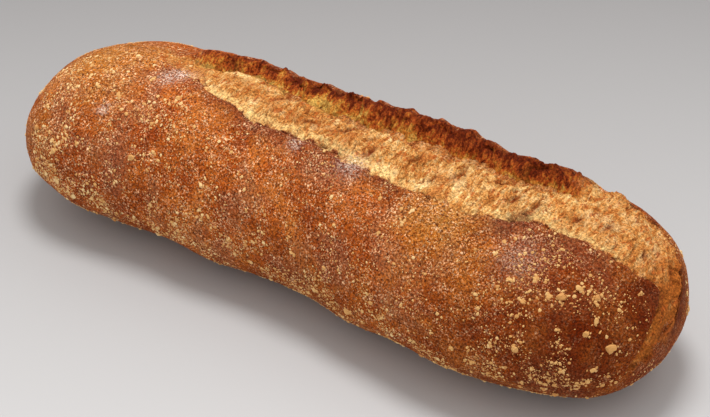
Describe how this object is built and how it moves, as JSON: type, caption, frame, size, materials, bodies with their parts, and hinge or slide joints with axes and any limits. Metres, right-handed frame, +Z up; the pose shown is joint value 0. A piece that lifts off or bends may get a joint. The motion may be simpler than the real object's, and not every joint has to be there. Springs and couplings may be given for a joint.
{
  "type": "corn bread loaf",
  "caption": "Long uncut corn bread loaf with blunt ends, one lengthwise slash with a lifted ear, torn crumb and corn grits on its crust.",
  "frame": {"origin": "centre of the loaf's outline seen from above, on the surface it rests on", "axes": "+X along the loaf towards its blunter end, +Z up, -Y towards the side that the slash leans to"},
  "size_m": [0.2994, 0.1018, 0.0779],
  "materials": {
    "crust": "baked crust, matte, with pale corn grits and a golden torn crumb"
  },
  "bodies": {
    "root": {"loaf": "crust"}
  },
  "joints": []
}
